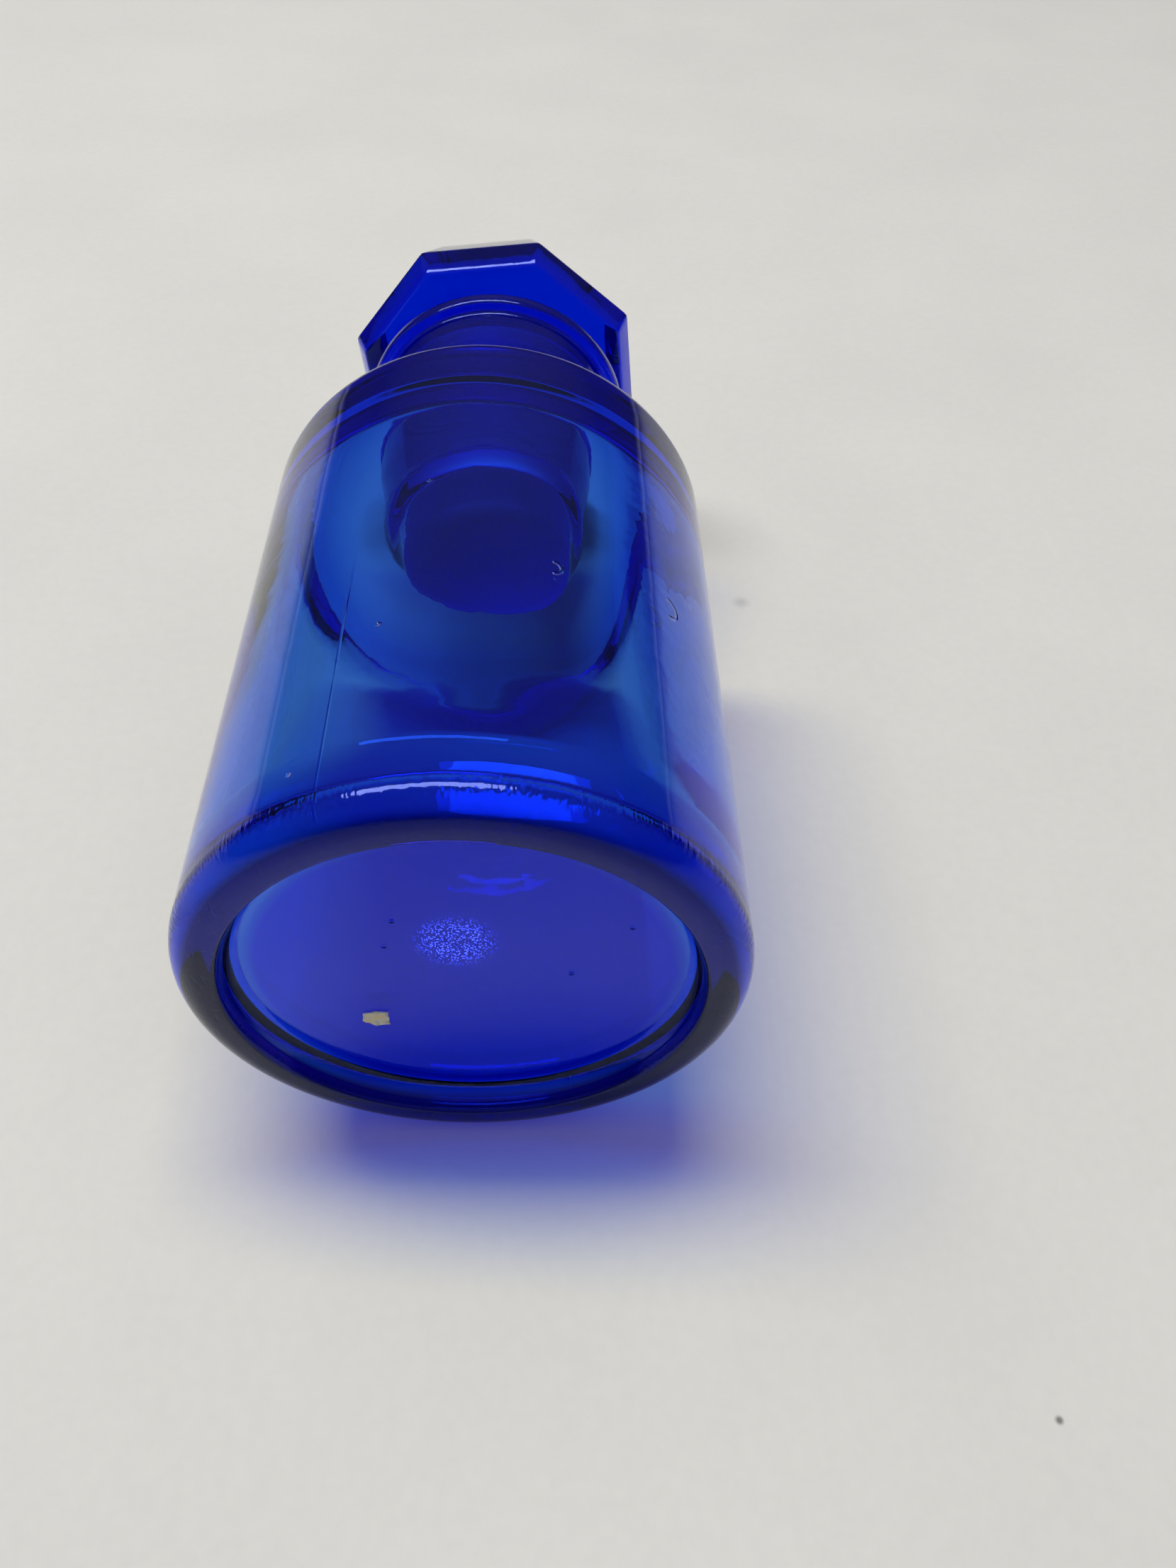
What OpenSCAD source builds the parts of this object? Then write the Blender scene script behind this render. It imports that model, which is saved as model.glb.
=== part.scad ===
// Small round medicine bottle of blown glass with an eight-sided ground glass stopper.
// The bottle stands on its base at z = 0 and its axis is the z axis.

/* [Body] */
// Outer diameter of the body
body_d = 45; // [40:0.5:60]
// Height of the shoulder above the base
shoulder_h = 60; // [50:0.5:80]
// Thickness of the side wall
wall = 1.8; // [1.5:0.1:2.6]
// Outer radius of the heel, where the side meets the base
heel_r = 2.6; // [2:0.1:3]
// Outer radius of the shoulder's edge
shoulder_r = 2.7; // [2:0.1:3.5]
// Thickness of the shoulder
shoulder_t = 2.6; // [2:0.1:4]
// Radius of the inner corner under the shoulder
inner_shoulder_r = 8; // [5:0.5:9]
// Radius of the inner corner at the base
inner_heel_r = 3.5; // [2.5:0.5:5]

/* [Base] */
// Depth of the recess in the base
recess_depth = 2.2; // [1.5:0.1:2.5]
// Diameter of the flat in the recess
recess_d = 34; // [30:0.5:35]
// Radius of the curve from the flat to the bearing ring
recess_r = 1.6; // [1:0.1:1.8]
// Thickness of the glass over the recess
base_t = 2.1; // [1.8:0.1:3]

/* [Neck] */
// Outer diameter of the neck where it rises from the shoulder
neck_d = 17.6; // [17.4:0.1:20]
// Height of the straight part of the neck above the shoulder
neck_straight = 2; // [1.8:0.1:4]
// Radius of the fillet between the neck and the shoulder
neck_fillet = 1.2; // [0.8:0.1:1.6]
// Outer diameter of the neck at the wide end of its flare
flare_d = 26.4; // [22:0.1:27]
// Depth of the flare's wide end below the top of the lip
flare_drop = 7.4; // [5:0.1:10]
// Outer diameter of the neck where it meets the lip
neck_top_d = 28; // [27:0.1:28.4]
// Height of the lip's top above the base
lip_h = 83.4; // [80:0.5:95]
// Outer diameter of the lip
lip_d = 30.5; // [29:0.5:34]
// Thickness of the lip
lip_t = 2.2; // [2:0.1:3]
// Radius of the lip's rounded edges
lip_edge_r = 0.9; // [0.5:0.1:0.9]
// Diameter of the bore where it meets the inside of the body
bore_low_d = 14.6; // [14:0.1:15]
// Diameter of the bore at the top of the lip
bore_top_d = 16.6; // [15.6:0.1:18]

/* [Stopper] */
// Radial gap between the plug and the bore
plug_gap = 0.05; // [0.03:0.01:0.08]
// Corner-to-corner size of the head at its widest
head_d = 36; // [34:0.5:38]
// Height of the head's underside above the lip
head_gap = 5; // [4:0.5:7]
// Height of the slanting band around the underside
band_h = 3; // [2:0.1:4]
// How far the slanting band leans in towards the underside
band_in = 1.2; // [0.8:0.1:1.6]
// Height of the slanting facets around the top
crown_h = 8; // [5:0.5:10]
// How far the top facets lean in
crown_in = 3; // [2:0.5:5]
// Diameter of the waist under the head
waist_d = 12; // [10:0.5:14]
// How far the plug's end hangs below the inside of the shoulder
plug_hang = 5.9; // [3:0.1:8]
// Radius of the plug's lower edge
plug_edge_r = 2; // [1:0.1:2.5]

/* [Label] */
// Thickness of the scrap of paper left on the base
paper_t = 0.12; // [0.1:0.01:0.2]

/* [Hidden] */
$fn = 96;

// Overlap that joins shapes cleanly
eps = 0.01;
sides = 8;

body_r = body_d / 2;
inner_r = body_r - wall;
floor_z = recess_depth + base_t;
ceiling_z = shoulder_h - shoulder_t;
neck_r = neck_d / 2;
flare_z = lip_h - flare_drop;
lip_r = lip_d / 2;
lip_z = lip_h - lip_t;
bore_low_r = bore_low_d / 2;
bore_top_r = bore_top_d / 2;
bore_slope = (bore_top_r - bore_low_r) / (lip_h - ceiling_z);

plug_z = ceiling_z - plug_hang;
head_z = lip_h + head_gap;
head_h = band_h + crown_h;
head_flat_r = head_d / 2 * cos(180 / sides);
waist_r = waist_d / 2;

// Where the scrap of paper lies on the recessed base
paper_at = [-8.3, 5.4];
paper_outline = [
    [-0.9, -0.85], [0.1, -1.0], [1.25, -0.75], [1.05, 0.25],
    [1.0, 0.95], [-0.2, 1.25], [-0.75, 0.55], [-1.1, 0.2]
];

function bore_r_at(z) = bore_low_r + bore_slope * (z - ceiling_z);

// Half section of a round column with rounded lower and upper edges
module half_column(r, z_low, z_high, round_low, round_high) {
    height = z_high - z_low;
    translate([0, z_low]) square([r - round_low, height - round_high]);
    translate([0, z_low + round_low]) square([r - round_high, height - round_low]);
    translate([0, z_low + round_low]) square([r, height - round_low - round_high]);
    translate([r - round_low, z_low + round_low]) circle(round_low);
    translate([r - round_high, z_high - round_high]) circle(round_high);
}

// Half section of the concave fillet between a column and a face it stands on
module half_fillet(fillet_r) {
    difference() {
        translate([-eps, -eps]) square(fillet_r + eps);
        translate([fillet_r, fillet_r]) circle(fillet_r);
    }
}

module bottle_outline() {
    half_column(body_r, 0, shoulder_h, heel_r, shoulder_r);
    polygon([
        [0, shoulder_h - eps], [neck_r, shoulder_h - eps], [neck_r, shoulder_h + neck_straight],
        [flare_d / 2, flare_z], [neck_top_d / 2, lip_z + eps], [0, lip_z + eps]
    ]);
    translate([neck_r, shoulder_h]) half_fillet(neck_fillet);
    half_column(lip_r, lip_z, lip_h, lip_edge_r, lip_edge_r);
}

module bottle_hollow() {
    half_column(inner_r, floor_z, ceiling_z, inner_heel_r, inner_shoulder_r);
    polygon([
        [0, ceiling_z - eps], [bore_low_r, ceiling_z - eps], [bore_low_r, ceiling_z],
        [bore_top_r, lip_h], [bore_top_r, lip_h + 1], [0, lip_h + 1]
    ]);
}

// The recess under the base, with a rounded corner between its flat and the bearing ring
module base_recess() {
    flat_r = recess_d / 2;
    translate([0, -1]) square([flat_r, recess_depth + 1]);
    translate([0, -1]) square([flat_r + recess_r, recess_depth - recess_r + 1]);
    translate([flat_r, recess_depth - recess_r]) circle(recess_r);
}

module bottle() {
    color("mediumblue") rotate_extrude() intersection() {
        difference() {
            bottle_outline();
            bottle_hollow();
            base_recess();
        }
        square([body_r, lip_h]);
    }
}

// What a slanting cut takes off: everything past a plane that leans by an angle from upright
module past_plane(lean) {
    rotate([0, -lean, 0]) translate([0, -head_d, -head_d]) cube(2 * head_d);
}

// Eight-sided head: a disc with slanting facets cut all round its underside and its top,
// which meet in the head's widest edge
module stopper_head() {
    difference() {
        translate([0, 0, head_z]) cylinder(d = head_d + 2, h = head_h);
        for (side = [0 : sides - 1]) rotate(side * 360 / sides)
            translate([head_flat_r, 0, head_z + band_h]) {
                past_plane(atan2(crown_in, crown_h));
                past_plane(-atan2(band_in, band_h));
            }
    }
}

// Half section of the round part of the stopper: waist and ground plug
module stopper_shank_section() {
    plug_low_r = bore_r_at(plug_z) - plug_gap;
    plug_top_r = bore_r_at(lip_h) - plug_gap;
    difference() {
        union() {
            polygon([
                [0, plug_z], [plug_low_r - plug_edge_r, plug_z], [plug_low_r, plug_z + plug_edge_r],
                [plug_top_r, lip_h], [plug_top_r, head_z + eps], [0, head_z + eps]
            ]);
            translate([plug_low_r - plug_edge_r, plug_z + plug_edge_r]) circle(plug_edge_r);
        }
        translate([waist_r + head_gap / 2, lip_h + head_gap / 2]) circle(head_gap / 2);
        translate([waist_r + head_gap / 2, lip_h]) square([plug_top_r, head_gap]);
    }
}

module stopper() {
    color("blue") {
        stopper_head();
        rotate_extrude() stopper_shank_section();
    }
}

module label_remnant() {
    color("tan") translate([paper_at[0], paper_at[1], recess_depth - paper_t])
        linear_extrude(paper_t) polygon(paper_outline);
}

bottle();
stopper();
label_remnant();
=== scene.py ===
"""A small cobalt glass medicine bottle with an eight-sided ground stopper, lying on a pale table.

The bottle's axis is the z axis and its base is at z = 0. It lies back against the table, whose
surface is an upright plane beside it. Lengths are in metres.
"""

import math

import bmesh
import bpy
from mathutils import Matrix, Vector, noise


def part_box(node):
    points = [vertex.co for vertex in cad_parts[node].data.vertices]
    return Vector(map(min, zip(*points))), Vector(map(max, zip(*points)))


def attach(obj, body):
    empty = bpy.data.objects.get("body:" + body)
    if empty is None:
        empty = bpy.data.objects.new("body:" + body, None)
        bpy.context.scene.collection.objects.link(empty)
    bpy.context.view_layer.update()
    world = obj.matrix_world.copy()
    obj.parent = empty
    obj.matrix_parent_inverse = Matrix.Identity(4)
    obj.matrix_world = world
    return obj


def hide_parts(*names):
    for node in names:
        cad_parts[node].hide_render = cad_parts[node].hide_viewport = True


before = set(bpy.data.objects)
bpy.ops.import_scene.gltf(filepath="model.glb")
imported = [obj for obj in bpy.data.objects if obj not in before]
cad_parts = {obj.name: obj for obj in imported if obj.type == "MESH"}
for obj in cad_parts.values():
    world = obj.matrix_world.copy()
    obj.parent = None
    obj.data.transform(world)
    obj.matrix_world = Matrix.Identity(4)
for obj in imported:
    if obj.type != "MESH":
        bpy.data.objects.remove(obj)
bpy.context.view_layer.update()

MM = 0.001
AROUND = 256                      # steps in a full turn of the round glass
FULL_TURN = 2 * math.pi

_, bottle_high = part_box("bottle")
stopper_low, stopper_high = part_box("stopper")

# Bottle, as the CAD has it
BODY_R = bottle_high.x
LIP_H = bottle_high.z
WALL = 1.8 * MM
SHOULDER_H = 60 * MM
HEEL_R = 2.6 * MM
SHOULDER_R = 2.7 * MM
SHOULDER_T = 2.6 * MM
INNER_HEEL_R = 3.5 * MM
RECESS_DEPTH = 2.2 * MM
RECESS_FLAT_R = 17 * MM
RECESS_R = 1.6 * MM
BASE_T = 2.1 * MM
NECK_R = 8.8 * MM
NECK_STRAIGHT = 2 * MM
NECK_FILLET = 1.2 * MM
FLARE_R = 13.2 * MM
FLARE_DROP = 7.4 * MM
NECK_TOP_R = 14 * MM
LIP_R = 15.25 * MM
LIP_T = 2.2 * MM
LIP_EDGE_R = 0.9 * MM
BORE_LOW_R = 7.3 * MM
BORE_TOP_R = 8.3 * MM
BORE_EDGE_R = 1.5 * MM

# Stopper, as the CAD has it
PLUG_GAP = 0.05 * MM
PLUG_EDGE_R = 2 * MM
PLUG_END = stopper_low.z
HEAD_TOP = stopper_high.z
HEAD_Z = LIP_H + 5 * MM
BAND_H = 3 * MM
BAND_IN = 1.2 * MM
CROWN_IN = 3 * MM
WAIST_R = 6 * MM
HEAD_FLAT_R = stopper_high.x
SIDES = 8

# What cobalt glass lets through, and how strongly it takes the rest, for each metre of it
GLASS_IOR = 1.52
GLASS_PASSES = (0.0, 0.50, 0.965, 1)
GLASS_DENSITY = 750
GROUND_ROUGHNESS = 0.6
GLINT_TINT = (0.3, 0.4, 1.0, 1)

# The share of the light that each surface lets straight through on its way to other surfaces
BOTTLE_SHADE = 0.94
STOPPER_SHADE = 0.25

# Painted shade: how much deeper the colour of the thick base and of the ring under it is painted
BASE_PAINTED_SHADE = (0.25, 0.10, 1.0, 1)
# Painted shade on the ring under the base
RING_PAINTED_SHADE = (0.01, 0.0, 0.06, 1)

# A painted glint: a glow of sparkles on a spot of the inner floor, standing for the glitter of a rough
# spot
PAINTED_GLINT_RADIUS = 4.6 * MM
PAINTED_GLINT_FLAKE = 0.19 * MM
PAINTED_GLINT_COLOUR = (0.5, 0.55, 1.0, 1)
PAINTED_GLINT_POWER = 4.5

SEAM_TURN = math.radians(72.4)    # where the mould's seam runs, as a turn from +x

# The room's light, and the one lamp: its power, size, place and aim (across, down and along)
WORLD_POWER = 1.0
KEY_POWER = 11.9
KEY_SIZE = (1.1, 0.26)
KEY_AT = (-0.22, -1.07, 0.24)
KEY_TOWARDS = (0, 0, 0.03)

FLOOR_Z = RECESS_DEPTH + BASE_T
CEILING_Z = SHOULDER_H - SHOULDER_T
INNER_R = BODY_R - WALL

# The way the bottle lies: which way is down to the table, across the table and along the bottle
LIE_TURN = math.radians(5.75)
ACROSS = Vector((math.cos(LIE_TURN), math.sin(LIE_TURN), 0))
DOWN = Vector((-math.sin(LIE_TURN), math.cos(LIE_TURN), 0))
ALONG = Vector((0, 0, 1))
TABLE_GAP = 0.1 * MM

# The camera across, down and along, with its place as shares of the body's radius
CAMERA_AT = (0.299, -3.626, -2.287)
CAMERA_VIEW = (0.0290, 0.7421, 0.6697)
CAMERA_UP = (0, -0.6700, 0.7424)
CAMERA_LENS = 28.32


def bore_slope():
    """How much the neck's tapered bore widens for each metre up."""
    return (BORE_TOP_R - BORE_LOW_R) / (LIP_H - CEILING_Z)


def bore_radius(z):
    """Radius of the neck's tapered bore at a height."""
    return BORE_LOW_R + bore_slope() * (z - CEILING_Z)


def lying(across, down, along):
    """A point or direction given across the table, down to it and along the bottle."""
    return ACROSS * across + DOWN * down + ALONG * along


def on_body(angle, z):
    """A point on the outside of the body, with its angle in degrees round the axis."""
    turn = math.radians(angle)
    return Vector((BODY_R * math.cos(turn), BODY_R * math.sin(turn), z))


# ---------------------------------------------------------------- mesh helpers

def finish_mesh(bm, name, smooth=True):
    """Puts a bmesh into a new object at the origin and frees it."""
    mesh = bpy.data.meshes.new(name)
    bm.to_mesh(mesh)
    bm.free()
    for face in mesh.polygons:
        face.use_smooth = smooth
    piece = bpy.data.objects.new(name, mesh)
    bpy.context.collection.objects.link(piece)
    return piece


def rounded_outline(bm, corners, step):
    """A wire outline in the xz plane. Each corner is (radius, height, rounding, arc steps)."""
    points = [Vector((c[0], 0, c[1])) for c in corners]
    verts = [bm.verts.new(p) for p in points]
    for a, b in zip(verts, verts[1:]):
        bm.edges.new((a, b))
    for i, (_, _, rounding, arc_steps) in enumerate(corners):
        if not rounding:
            continue
        before = (points[i - 1] - points[i]).normalized()
        after = (points[i + 1] - points[i]).normalized()
        offset = rounding / math.tan(before.angle(after) / 2)
        bmesh.ops.bevel(bm, geom=[verts[i]], offset=offset, offset_type="OFFSET", segments=arc_steps,
                        profile=0.5, affect="VERTICES", material=-1)
    for edge in list(bm.edges):
        cuts = int(edge.calc_length() / step)
        if cuts > 0:
            bmesh.ops.subdivide_edges(bm, edges=[edge], cuts=cuts)


def turned(bm):
    """Spins everything in bm once round the z axis and closes it."""
    bmesh.ops.spin(bm, geom=bm.verts[:] + bm.edges[:], cent=(0, 0, 0), axis=(0, 0, 1),
                   angle=FULL_TURN, steps=AROUND, use_merge=True)
    bmesh.ops.remove_doubles(bm, verts=bm.verts, dist=1e-7)
    bmesh.ops.recalc_face_normals(bm, faces=bm.faces)


def share_between(value, low, high):
    """0 below low, 1 above high and a smooth rise between."""
    share = max(0.0, min(1.0, (value - low) / (high - low)))
    return share * share * (3 - 2 * share)


# ---------------------------------------------------------------- glass pieces

def make_bottle():
    """Body, neck and lip in one closed wall of glass."""
    bm = bmesh.new()
    rounded_outline(bm, [
        (0, RECESS_DEPTH, 0, 0),
        (RECESS_FLAT_R + RECESS_R, RECESS_DEPTH, RECESS_R, 12),
        (RECESS_FLAT_R + RECESS_R, 0, 0.4 * MM, 6),
        (BODY_R, 0, HEEL_R, 20),
        (BODY_R, SHOULDER_H, SHOULDER_R, 20),
        (NECK_R, SHOULDER_H, NECK_FILLET, 12),
        (NECK_R, SHOULDER_H + NECK_STRAIGHT, 3 * MM, 12),
        (FLARE_R, LIP_H - FLARE_DROP, 8 * MM, 12),
        (NECK_TOP_R, LIP_H - LIP_T, 0.8 * MM, 8),
        (LIP_R, LIP_H - LIP_T, LIP_EDGE_R, 8),
        (LIP_R, LIP_H, LIP_EDGE_R, 8),
        (BORE_TOP_R, LIP_H, 0.3 * MM, 6),
        (BORE_LOW_R, CEILING_Z, BORE_EDGE_R, 12),
        (INNER_R - 5.2 * MM, CEILING_Z, 12 * MM, 14),
        (INNER_R - 1.6 * MM, CEILING_Z - 2.2 * MM, 4 * MM, 14),
        (INNER_R, CEILING_Z - 7.0 * MM, 16 * MM, 14),
        (INNER_R, FLOOR_Z, INNER_HEEL_R, 20),
        (0, FLOOR_Z, 0, 0),
    ], step=2.5 * MM)
    turned(bm)
    unevenly_blown(bm)
    return finish_mesh(bm, "bottle_glass")


def unevenly_blown(bm):
    """Makes the inside of the body wander a little, so that the wall isn't even in thickness."""
    for vert in bm.verts:
        inside = vert.co.xy.length < INNER_R + 0.1 * MM
        share = share_between(vert.co.z, FLOOR_Z + 2 * MM, FLOOR_Z + 8 * MM)
        share *= 1 - share_between(vert.co.z, CEILING_Z - 6 * MM, CEILING_Z - 1 * MM)
        if not inside or share == 0:
            continue
        at = Vector((vert.co.x / (11 * MM), vert.co.y / (11 * MM), vert.co.z / (60 * MM)))
        wander = noise.noise(at) * 0.5 * MM - 0.1 * MM
        vert.co.xy *= 1 + share * wander / vert.co.xy.length


def octagon_reach(flat, turn, rounding):
    """Distance from the axis to an eight-sided outline with slightly rounded corners.

    flat is the distance to its sides, and turn is measured from the middle of a side.
    """
    half_side = math.pi / SIDES
    turn = abs((turn + half_side) % (2 * half_side) - half_side)
    rounding = min(rounding, flat)
    if math.tan(turn) * flat <= (flat - rounding) * math.tan(half_side):
        return flat / math.cos(turn)
    centre = (flat - rounding) / math.cos(half_side)
    off = half_side - turn
    return centre * math.cos(off) + math.sqrt(rounding ** 2 - (centre * math.sin(off)) ** 2)


def make_stopper():
    """Eight-sided head on a waist and a ground plug, all one piece of glass."""
    bm = bmesh.new()
    plug_low = bore_radius(PLUG_END) - PLUG_GAP
    rounded_outline(bm, [
        (0, PLUG_END, 0, 0),
        (plug_low, PLUG_END, PLUG_EDGE_R, 12),
        (BORE_TOP_R - PLUG_GAP, LIP_H, 0.3 * MM, 4),
        (WAIST_R, LIP_H + 1.2 * MM, 1.5 * MM, 10),
        (WAIST_R, HEAD_Z, 1.5 * MM, 10),
        (HEAD_FLAT_R - BAND_IN, HEAD_Z, 0.5 * MM, 5),
        (HEAD_FLAT_R, HEAD_Z + BAND_H, 0.4 * MM, 5),
        (HEAD_FLAT_R - CROWN_IN, HEAD_TOP, 0.6 * MM, 5),
        (0, HEAD_TOP, 0, 0),
    ], step=2.0 * MM)
    turned(bm)
    round_until = WAIST_R + 2 * MM
    for vert in bm.verts:
        flat = vert.co.xy.length
        if vert.co.z < HEAD_Z - 0.1 * MM or flat < 1e-9:
            continue
        share = 1.0
        if vert.co.z < HEAD_Z + 0.1 * MM:
            share = max(0.0, min(1.0, (flat - round_until) / (4 * MM)))
        reach = octagon_reach(flat, math.atan2(vert.co.y, vert.co.x), 0.7 * MM)
        vert.co.xy *= 1 + share * (reach / flat - 1)
    return finish_mesh(bm, "stopper_glass")


def make_label():
    """The scrap of old paper stuck in the recess of the base."""
    low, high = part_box("label_remnant")
    centre = (low + high) / 2
    half = (high - low) / 2
    corners = [(-0.8, -0.75), (-0.3, -0.78), (0.1, -0.95), (0.5, -0.8), (1, -0.7), (0.86, -0.2),
               (0.9, 0.2), (0.78, 0.6), (0.85, 0.9), (0.3, 0.88), (-0.2, 1), (-0.42, 0.72),
               (-0.6, 0.5), (-0.82, 0.45), (-1, 0.2), (-0.86, -0.3)]
    bm = bmesh.new()
    verts = [bm.verts.new((centre.x + x * half.x, centre.y + y * half.y, low.z)) for x, y in corners]
    face = bm.faces.new(verts)
    out = bmesh.ops.extrude_face_region(bm, geom=[face])
    top = [v for v in out["geom"] if isinstance(v, bmesh.types.BMVert)]
    bmesh.ops.translate(bm, verts=top, vec=(0, 0, high.z - low.z))
    bmesh.ops.recalc_face_normals(bm, faces=bm.faces)
    return finish_mesh(bm, "label_paper", smooth=False)


# ---------------------------------------------------------------- node helpers

def new_material(name):
    """An empty node material and its node tree."""
    mat = bpy.data.materials.new(name)
    mat.use_nodes = True
    mat.node_tree.nodes.clear()
    return mat, mat.node_tree


def new_group(name, outputs):
    """An empty node group with float outputs, and the object's own coordinates inside it."""
    tree = bpy.data.node_groups.new(name, "ShaderNodeTree")
    for output in outputs:
        tree.interface.new_socket(output, in_out="OUTPUT", socket_type="NodeSocketFloat")
    out = tree.nodes.new("NodeGroupOutput")
    place = tree.nodes.new("ShaderNodeTexCoord").outputs["Object"]
    return tree, place, out


def use_group(tree, group):
    """Places a node group in a tree."""
    node = tree.nodes.new("ShaderNodeGroup")
    node.node_tree = group
    return node


def feed(tree, socket, value):
    """Links a socket or sets a value."""
    if isinstance(value, bpy.types.NodeSocket):
        tree.links.new(value, socket)
    else:
        socket.default_value = value


def calc(tree, operation, *values):
    """A math node on sockets or numbers."""
    node = tree.nodes.new("ShaderNodeMath")
    node.operation = operation
    for socket, value in zip(node.inputs, values):
        feed(tree, socket, value)
    return node.outputs[0]


def calc_vector(tree, operation, *values):
    """A vector math node. Gives its number for the operations that end in one."""
    node = tree.nodes.new("ShaderNodeVectorMath")
    node.operation = operation
    for socket, value in zip(node.inputs, values):
        feed(tree, socket, value)
    is_number = operation in ("LENGTH", "DISTANCE", "DOT_PRODUCT")
    return node.outputs["Value" if is_number else "Vector"]


def rise(tree, value, start, end):
    """0 at start, 1 at end and a smooth rise between; start may be above end."""
    node = tree.nodes.new("ShaderNodeMapRange")
    node.interpolation_type = "SMOOTHSTEP"
    feed(tree, node.inputs["Value"], value)
    node.inputs["From Min"].default_value = min(start, end)
    node.inputs["From Max"].default_value = max(start, end)
    node.inputs["To Min"].default_value = 0 if start < end else 1
    node.inputs["To Max"].default_value = 1 if start < end else 0
    return node.outputs[0]


def grain(tree, place, size, detail=2, stretch=(1, 1, 1)):
    """Noise of about 0 to 1 whose features are about size across."""
    scaled = calc_vector(tree, "MULTIPLY", place, stretch)
    node = tree.nodes.new("ShaderNodeTexNoise")
    node.inputs["Scale"].default_value = 1 / size
    node.inputs["Detail"].default_value = detail
    tree.links.new(scaled, node.inputs["Vector"])
    return node.outputs[0]


def product(tree, *values):
    """All values multiplied together."""
    total = values[0]
    for value in values[1:]:
        total = calc(tree, "MULTIPLY", total, value)
    return total


def total_of(tree, *values):
    """All values added together."""
    total = values[0]
    for value in values[1:]:
        total = calc(tree, "ADD", total, value)
    return total


def axis_parts(tree, place):
    """Distance from the z axis, and the height."""
    flat = calc_vector(tree, "MULTIPLY", place, (1, 1, 0))
    split = tree.nodes.new("ShaderNodeSeparateXYZ")
    tree.links.new(place, split.inputs[0])
    return calc_vector(tree, "LENGTH", flat), split.outputs["Z"]


def dimple(tree, place, centre, radius):
    """1 at a point and 0 from radius on."""
    return rise(tree, calc_vector(tree, "DISTANCE", place, tuple(centre)), radius, 0)


# ---------------------------------------------------------------- glass surface effects

def ground_group():
    """Roughness of the ground plug and of the ground bore that it sits in."""
    tree, place, out = new_group("ground_glass", ["Roughness"])
    from_axis, z = axis_parts(tree, place)
    over_floor = calc(tree, "SUBTRACT", z, CEILING_Z)
    edge = calc(tree, "MULTIPLY_ADD", over_floor, bore_slope(), BORE_LOW_R + 0.35 * MM)
    within = calc(tree, "LESS_THAN", from_axis, edge)
    above = calc(tree, "GREATER_THAN", z, PLUG_END - 0.05 * MM)
    below = calc(tree, "LESS_THAN", z, LIP_H - 0.3 * MM)
    patchy = calc(tree, "MULTIPLY_ADD", grain(tree, place, 0.5 * MM), 0.2, GROUND_ROUGHNESS - 0.1)
    feed(tree, out.inputs["Roughness"], product(tree, within, above, below, patchy))
    return tree


def peel_group():
    """Height in millimetres of the faint orange peel that moulded glass has."""
    tree, place, out = new_group("glass_peel", ["Height"])
    broad = calc(tree, "MULTIPLY", grain(tree, place, 6 * MM), 0.02)
    fine = calc(tree, "MULTIPLY", grain(tree, place, 0.9 * MM, 1), 0.0015)
    feed(tree, out.inputs["Height"], total_of(tree, broad, fine))
    return tree


def seam_height(tree, place):
    """The fine line that the two halves of the mould leave up the lower body."""
    from_axis, z = axis_parts(tree, place)
    sideways = (-math.sin(SEAM_TURN), math.cos(SEAM_TURN), 0)
    off = calc(tree, "ABSOLUTE", calc_vector(tree, "DOT_PRODUCT", place, sideways))
    wobble = calc(tree, "MULTIPLY", grain(tree, place, 4 * MM), 0.15 * MM)
    line = rise(tree, calc(tree, "ADD", off, wobble), 0.22 * MM, 0.04 * MM)
    outside = rise(tree, from_axis, BODY_R - 1.0 * MM, BODY_R - 0.5 * MM)
    lower = rise(tree, z, 33 * MM, 20 * MM)
    return product(tree, line, outside, lower, 0.02)


def heel_height(tree, place):
    """Fine upright ribs round the top of the heel."""
    from_axis, z = axis_parts(tree, place)
    ribs = grain(tree, place, 0.35 * MM, 1, (1, 1, 0.12))
    band = product(tree, rise(tree, z, 0.8 * MM, 1.6 * MM), rise(tree, z, 3.4 * MM, 2.4 * MM))
    outside = rise(tree, from_axis, BODY_R - 2.4 * MM, BODY_R - 1.5 * MM)
    return product(tree, ribs, band, outside, 0.045)


def base_height(tree, place):
    """Small seeds under the base."""
    _, z = axis_parts(tree, place)
    on_base = rise(tree, z, 3.6 * MM, 3.0 * MM)
    seeds = [dimple(tree, place, (x * MM, y * MM, RECESS_DEPTH), 0.34 * MM)
             for x, y in ((8.2, 0.8), (13.3, -4.8), (-5.6, -4.4), (-4.4, -7.5))]
    return product(tree, on_base, total_of(tree, *seeds), -0.12)


def painted_glint_glow(tree, place):
    """A painted glint: a speckled glow that stands for the glitter of the rough spot in the middle of
    the base.
    """
    _, z = axis_parts(tree, place)
    on_floor = rise(tree, z, 3.2 * MM, 3.8 * MM)
    near = dimple(tree, place, (-0.4 * MM, -3.1 * MM, FLOOR_Z), PAINTED_GLINT_RADIUS)
    cells = tree.nodes.new("ShaderNodeTexVoronoi")
    cells.inputs["Scale"].default_value = 1 / PAINTED_GLINT_FLAKE
    tree.links.new(place, cells.inputs["Vector"])
    flakes = rise(tree, cells.outputs["Distance"], 0.42, 0.18)
    return product(tree, on_floor, rise(tree, near, 0.05, 0.75), flakes)


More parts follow.
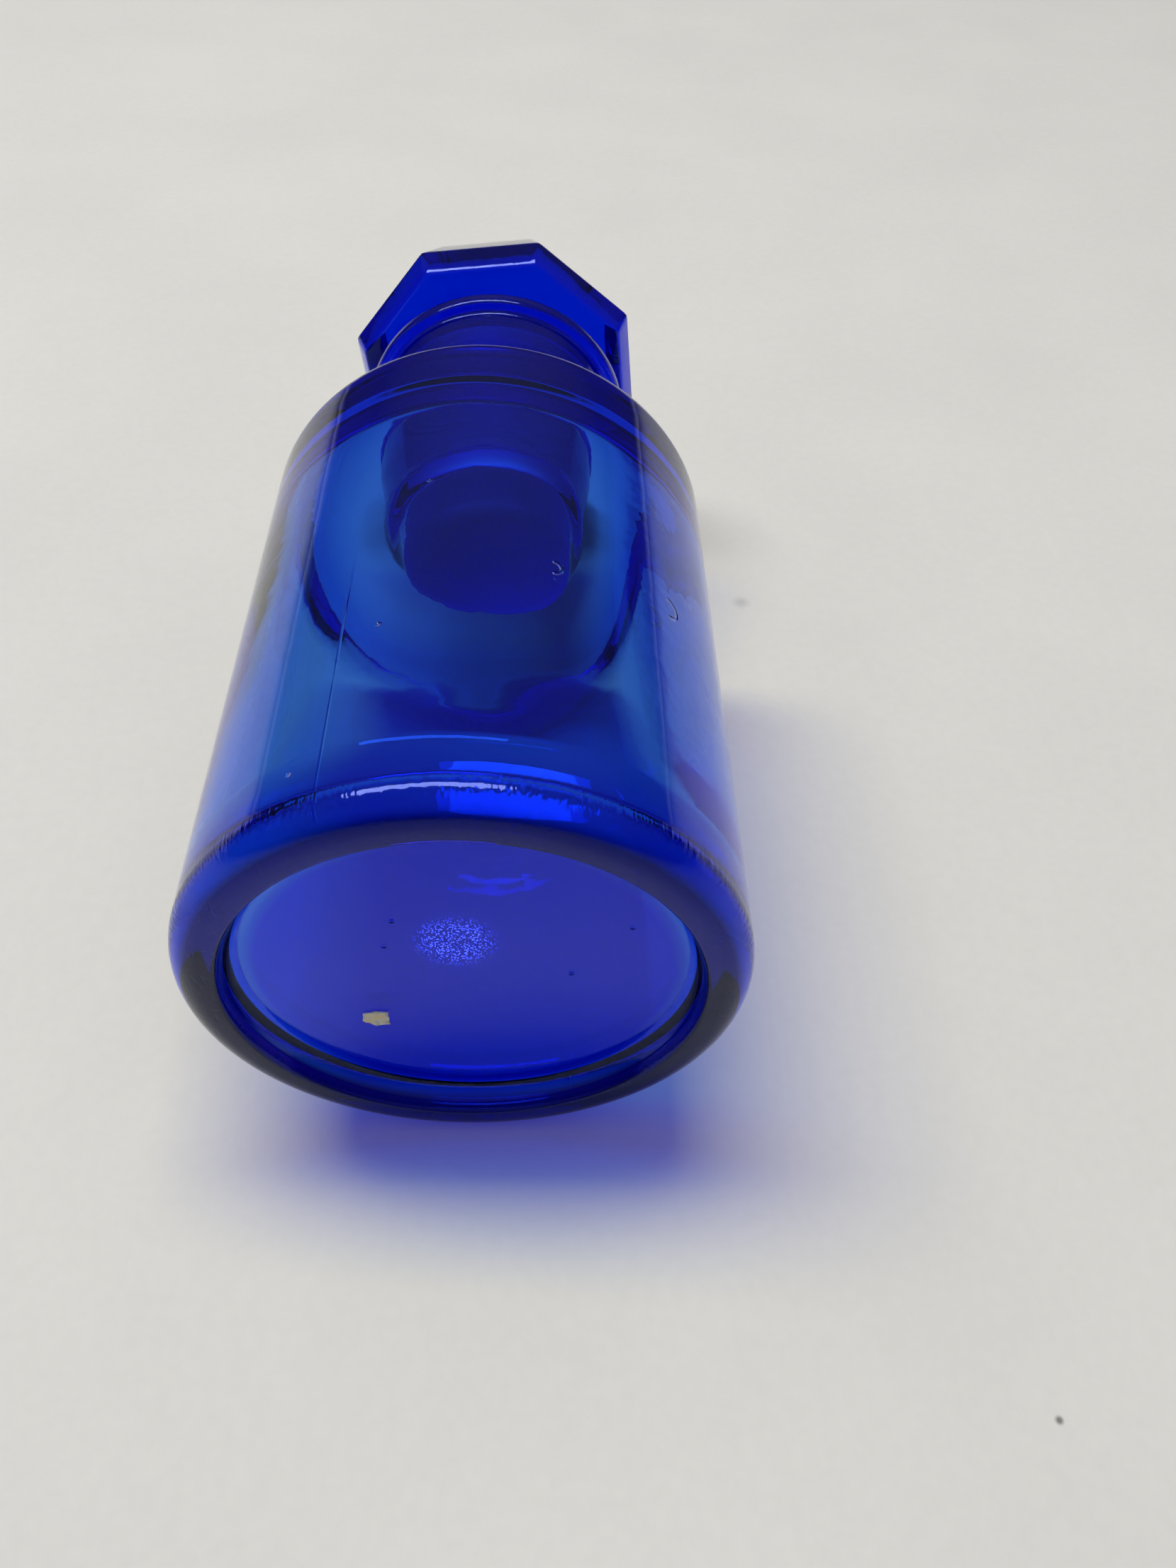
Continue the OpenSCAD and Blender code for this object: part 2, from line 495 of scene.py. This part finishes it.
def body_marks_height(tree, place):
    """Open bubbles and specks on the side of the body."""
    marks = []
    for angle, height, radius in ((-66.6, 25.6, 0.7), (-37.5, 28.0, 1.1)):
        away = calc_vector(tree, "DISTANCE", place, tuple(on_body(angle, height * MM)))
        ring = calc(tree, "ABSOLUTE", calc(tree, "SUBTRACT", away, radius * MM))
        side = calc_vector(tree, "DOT_PRODUCT", place, tuple(on_body(angle + 90, 0) / BODY_R))
        half = rise(tree, side, -0.1 * MM, 0.1 * MM)
        marks.append(product(tree, rise(tree, ring, 0.22 * MM, 0.05 * MM), half, 1.6))
    for angle, height in ((-114, 5.4), (-100, 18.5), (-93, 36)):
        marks.append(dimple(tree, place, on_body(angle, height * MM), 0.3 * MM))
    return product(tree, total_of(tree, *marks), -0.1)


def wear_group():
    """Scuffs where the bottle has stood: roughness and height in millimetres."""
    tree, place, out = new_group("standing_wear", ["Roughness", "Height"])
    from_axis, z = axis_parts(tree, place)
    low = rise(tree, z, 0.5 * MM, 0.1 * MM)
    scuffs = rise(tree, grain(tree, place, 0.5 * MM, 4), 0.58, 0.70)
    scratches = rise(tree, grain(tree, place, 0.3 * MM, 2, (1, 0.12, 1)), 0.60, 0.68)
    worn = calc(tree, "MINIMUM", total_of(tree, scuffs, scratches), 1.0)
    feed(tree, out.inputs["Roughness"], product(tree, worn, low, 0.25))
    feed(tree, out.inputs["Height"], product(tree, worn, low, -0.008))
    return tree


def painted_ring_shade(tree, place):
    """Where painted shade makes the thick ring that the bottle stands on deepest in colour."""
    from_axis, z = axis_parts(tree, place)
    low = rise(tree, z, 2.2 * MM, 1.1 * MM)
    return product(tree, low, rise(tree, from_axis, 17.2 * MM, 17.8 * MM),
                   rise(tree, from_axis, 22.0 * MM, 20.9 * MM))


def painted_base_shade(tree, place):
    """Where painted shade makes the recessed base deeper in colour than the sides."""
    from_axis, z = axis_parts(tree, place)
    return product(tree, rise(tree, z, 3.0 * MM, 2.5 * MM), rise(tree, from_axis, 18.0 * MM, 16.0 * MM))


def marks_and_painted_light_group():
    """What only the bottle's glass carries: marks in millimetres, a painted glint, and painted shade on
    the base and ring.
    """
    tree, place, out = new_group("marks_and_painted_light", ["Height", "Painted Glint", "Painted Base Shade", "Painted Ring Shade"])
    feed(tree, out.inputs["Painted Base Shade"], painted_base_shade(tree, place))
    feed(tree, out.inputs["Painted Ring Shade"], painted_ring_shade(tree, place))
    height = total_of(tree, seam_height(tree, place), heel_height(tree, place), base_height(tree, place),
                      body_marks_height(tree, place))
    feed(tree, out.inputs["Height"], height)
    feed(tree, out.inputs["Painted Glint"], painted_glint_glow(tree, place))
    return tree


# ---------------------------------------------------------------- materials

def glass_material(name, groups, shade):
    """Cobalt glass: clear surface, colour from the depth of glass, and marks, painted shade and a
    painted glint from the groups.

    shade is the share of the light that each surface lets straight through on its way to others.
    """
    mat, tree = new_material(name)
    out = tree.nodes.new("ShaderNodeOutputMaterial")
    glass = tree.nodes.new("ShaderNodeBsdfPrincipled")
    glass.inputs["IOR"].default_value = GLASS_IOR
    glass.inputs["Transmission Weight"].default_value = 1.0
    glass.inputs["Specular Tint"].default_value = GLINT_TINT
    effects = [use_group(tree, group) for group in groups]
    colour = (1, 1, 1, 1)
    # Painted shade darkens the glass's colour on the recessed base and on the ring under it
    for node in effects:
        for share, shade_tint in (("Painted Base Shade", BASE_PAINTED_SHADE), ("Painted Ring Shade", RING_PAINTED_SHADE)):
            if share in node.outputs:
                colour = blend_colours(tree, node.outputs[share], colour, shade_tint)
    feed(tree, glass.inputs["Base Color"], colour)
    rough = [node.outputs["Roughness"] for node in effects if "Roughness" in node.outputs]
    heights = [node.outputs["Height"] for node in effects if "Height" in node.outputs]
    feed(tree, glass.inputs["Roughness"], total_of(tree, *rough))
    painted_glints = [node.outputs["Painted Glint"] for node in effects if "Painted Glint" in node.outputs]
    # A painted glint: the glass glows here though it is no lamp
    if painted_glints:
        painted_glint_shine = blend_colours(tree, total_of(tree, *painted_glints), (0, 0, 0, 1), PAINTED_GLINT_COLOUR)
        feed(tree, glass.inputs["Emission Color"], painted_glint_shine)
        glass.inputs["Emission Strength"].default_value = PAINTED_GLINT_POWER
    bump = tree.nodes.new("ShaderNodeBump")
    bump.inputs["Distance"].default_value = MM
    feed(tree, bump.inputs["Height"], total_of(tree, *heights))
    tree.links.new(bump.outputs[0], glass.inputs["Normal"])
    clear = tree.nodes.new("ShaderNodeBsdfTransparent")
    clear.inputs["Color"].default_value = (shade, shade, shade, 1)
    path = tree.nodes.new("ShaderNodeLightPath")
    mix = tree.nodes.new("ShaderNodeMixShader")
    tree.links.new(path.outputs["Is Shadow Ray"], mix.inputs["Fac"])
    tree.links.new(glass.outputs[0], mix.inputs[1])
    tree.links.new(clear.outputs[0], mix.inputs[2])
    tree.links.new(mix.outputs[0], out.inputs["Surface"])
    depth = tree.nodes.new("ShaderNodeVolumeAbsorption")
    depth.inputs["Color"].default_value = GLASS_PASSES
    depth.inputs["Density"].default_value = GLASS_DENSITY
    tree.links.new(depth.outputs[0], out.inputs["Volume"])
    return mat


def colour_ramp(tree, value, stops):
    """A colour ramp of (position, colour) stops."""
    node = tree.nodes.new("ShaderNodeValToRGB")
    elements = node.color_ramp.elements
    elements.remove(elements[0])
    for i, (at, colour) in enumerate(stops):
        stop = elements[0] if i == 0 else elements.new(at)
        stop.position = at
        stop.color = (*colour, 1)
    feed(tree, node.inputs["Fac"], value)
    return node.outputs[0]


def blend_colours(tree, share, first, second):
    """The first colour where share is 0 and the second where it is 1."""
    node = tree.nodes.new("ShaderNodeMix")
    node.data_type = "RGBA"
    colours = [socket for socket in node.inputs if socket.type == "RGBA"]
    feed(tree, node.inputs[0], share)
    feed(tree, colours[0], first)
    feed(tree, colours[1], second)
    return [socket for socket in node.outputs if socket.type == "RGBA"][0]


def matt_paint(tree, colour, roughness):
    """A surface with almost no gloss."""
    paint = tree.nodes.new("ShaderNodeBsdfPrincipled")
    feed(tree, paint.inputs["Base Color"], colour)
    paint.inputs["Roughness"].default_value = roughness
    paint.inputs["Specular IOR Level"].default_value = 0.2
    return paint


def table_material():
    """Matt pale table top with a faint mottle and two small specks, seen from its front only."""
    mat, tree = new_material("pale_table")
    place = tree.nodes.new("ShaderNodeTexCoord").outputs["Object"]
    mottle = total_of(tree, product(tree, grain(tree, place, 30 * MM, 3), 0.6),
                      product(tree, grain(tree, place, 1.2 * MM, 2), 0.4))
    pale = colour_ramp(tree, mottle, [(0.35, (0.682, 0.672, 0.640)), (0.65, (0.716, 0.706, 0.672))])
    surface = BODY_R + TABLE_GAP
    smudge = product(tree, dimple(tree, place, lying(31.6 * MM, surface, 74.8 * MM), 1.6 * MM), 0.25)
    fleck = dimple(tree, place, lying(46.4 * MM, surface, -24.5 * MM), 0.5 * MM)
    share = calc(tree, "MINIMUM", total_of(tree, smudge, fleck), 0.8)
    colour = blend_colours(tree, share, pale, (0.10, 0.10, 0.09, 1))
    paint = matt_paint(tree, colour, 0.6)
    out = tree.nodes.new("ShaderNodeOutputMaterial")
    clear = tree.nodes.new("ShaderNodeBsdfTransparent")
    side = tree.nodes.new("ShaderNodeNewGeometry")
    mix = tree.nodes.new("ShaderNodeMixShader")
    tree.links.new(side.outputs["Backfacing"], mix.inputs["Fac"])
    tree.links.new(paint.outputs[0], mix.inputs[1])
    tree.links.new(clear.outputs[0], mix.inputs[2])
    tree.links.new(mix.outputs[0], out.inputs["Surface"])
    return mat


def paper_material():
    """Old paper: grey tan, yellower in places, with fibres."""
    mat, tree = new_material("old_paper")
    place = tree.nodes.new("ShaderNodeTexCoord").outputs["Object"]
    blotches = grain(tree, place, 0.9 * MM, 3)
    colour = colour_ramp(tree, blotches, [
        (0.36, (0.52, 0.50, 0.45)), (0.50, (0.74, 0.72, 0.66)), (0.64, (0.80, 0.68, 0.42)),
    ])
    paint = matt_paint(tree, colour, 0.85)
    fibres = grain(tree, place, 0.15 * MM, 3, (1, 0.25, 1))
    bump = tree.nodes.new("ShaderNodeBump")
    bump.inputs["Distance"].default_value = 0.04 * MM
    feed(tree, bump.inputs["Height"], fibres)
    tree.links.new(bump.outputs[0], paint.inputs["Normal"])
    out = tree.nodes.new("ShaderNodeOutputMaterial")
    tree.links.new(paint.outputs[0], out.inputs["Surface"])
    return mat


# ---------------------------------------------------------------- stage, light and camera

def make_table():
    """The table's surface: a plane that faces the bottle and the camera."""
    bm = bmesh.new()
    bmesh.ops.create_grid(bm, x_segments=1, y_segments=1, size=3)
    place = Matrix((ACROSS, ALONG, -DOWN)).transposed().to_4x4()
    bmesh.ops.transform(bm, matrix=place, verts=bm.verts)
    bmesh.ops.translate(bm, vec=DOWN * (BODY_R + TABLE_GAP), verts=bm.verts)
    bmesh.ops.recalc_face_normals(bm, faces=bm.faces)
    for face in bm.faces:
        if face.normal.dot(DOWN) > 0:
            face.normal_flip()
    table = finish_mesh(bm, "table_top", smooth=False)
    table.data.materials.append(table_material())


def make_world():
    """A soft room: pale above, darker round the horizon."""
    world = bpy.data.worlds.new("room")
    bpy.context.scene.world = world
    world.use_nodes = True
    tree = world.node_tree
    tree.nodes.clear()
    out = tree.nodes.new("ShaderNodeOutputWorld")
    back = tree.nodes.new("ShaderNodeBackground")
    way = tree.nodes.new("ShaderNodeTexCoord").outputs["Generated"]
    upward = calc_vector(tree, "DOT_PRODUCT", way, tuple(-DOWN))
    share = calc(tree, "MULTIPLY_ADD", upward, 0.5, 0.5)
    colour = colour_ramp(tree, share, [
        (0.0, (0.60, 0.60, 0.59)),
        (0.49, (0.60, 0.60, 0.59)),
        (0.51, (0.045, 0.043, 0.03)),
        (0.62, (0.05, 0.048, 0.035)),
        (0.78, (0.20, 0.20, 0.20)),
        (1.0, (0.27, 0.27, 0.27)),
    ])
    tree.links.new(colour, back.inputs["Color"])
    tree.links.new(back.outputs[0], out.inputs["Surface"])
    back.inputs["Strength"].default_value = WORLD_POWER


def add_area(name, at, towards, size, power):
    """A soft rectangular lamp that faces a point."""
    light = bpy.data.lights.new(name, "AREA")
    light.shape = "RECTANGLE"
    light.size, light.size_y = size
    light.energy = power
    lamp = bpy.data.objects.new(name, light)
    turn = (at - towards).to_track_quat("Z", "Y").to_matrix().to_4x4()
    lamp.matrix_world = Matrix.Translation(at) @ turn
    bpy.context.collection.objects.link(lamp)


def make_camera():
    """Low over the base, looking along the bottle towards the stopper."""
    data = bpy.data.cameras.new("camera")
    data.sensor_width = 36
    data.lens = CAMERA_LENS
    data.clip_start = 0.005
    cam = bpy.data.objects.new("camera", data)
    bpy.context.collection.objects.link(cam)
    at = lying(*CAMERA_AT) * BODY_R
    forward = lying(*CAMERA_VIEW).normalized()
    right = forward.cross(lying(*CAMERA_UP)).normalized()
    up = right.cross(forward)
    turn = Matrix((right, up, -forward)).transposed()
    cam.matrix_world = Matrix.Translation(at) @ turn.to_4x4()
    bpy.context.scene.camera = cam


def put_in_place(piece, material, body, node):
    """Gives a piece its material and lets it stand for its CAD node."""
    piece.data.materials.append(material)
    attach(piece, body)
    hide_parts(node)


make_camera()

ground = ground_group()
peel = peel_group()
bottle_effects = [ground, peel, wear_group(), marks_and_painted_light_group()]
bottle_material = glass_material("bottle_glass", bottle_effects, BOTTLE_SHADE)
stopper_material = glass_material("stopper_glass", [ground, peel], STOPPER_SHADE)
put_in_place(make_bottle(), bottle_material, "bottle", "bottle")
put_in_place(make_stopper(), stopper_material, "stopper", "stopper")
put_in_place(make_label(), paper_material(), "bottle", "label_remnant")

make_table()
make_world()
add_area("key", lying(*KEY_AT), lying(*KEY_TOWARDS), KEY_SIZE, KEY_POWER)

scene = bpy.context.scene
scene.view_settings.view_transform = "Standard"
scene.cycles.max_bounces = 32
scene.cycles.transmission_bounces = 32
scene.cycles.glossy_bounces = 12
scene.cycles.transparent_max_bounces = 32
scene.cycles.caustics_refractive = False
scene.cycles.caustics_reflective = False
